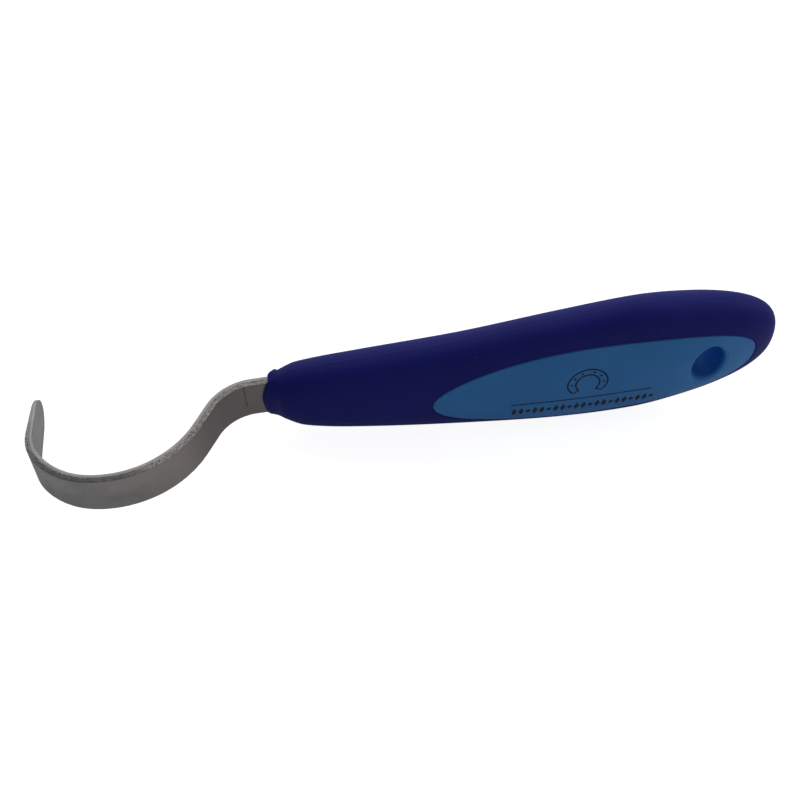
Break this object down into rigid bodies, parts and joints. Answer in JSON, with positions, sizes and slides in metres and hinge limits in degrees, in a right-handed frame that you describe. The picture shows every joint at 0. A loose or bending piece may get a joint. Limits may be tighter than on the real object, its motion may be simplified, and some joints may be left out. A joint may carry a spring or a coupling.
{
  "type": "hoof pick",
  "caption": "Hoof pick: a bent steel strip hook moulded into a two-colour soft-grip handle with a hanging hole near the butt.",
  "frame": {"origin": "on the strip's inner wide face, on the short flat run between the handle's collar and the first bend", "axes": "+X along the handle from hook to butt, +Y the side the hook opens to, +Z across the strip's width, so the tool lies on its side"},
  "size_m": [0.1931, 0.0315, 0.0382],
  "materials": {
    "strip_steel": "satin rolled faces, bright sheared edges",
    "core_plastic": "light blue, semi-gloss",
    "grip_rubber": "navy, satin soft-touch"
  },
  "bodies": {
    "root": {"pick_strip": "strip_steel", "handle_core": "core_plastic", "soft_grip": "grip_rubber"}
  },
  "joints": []
}
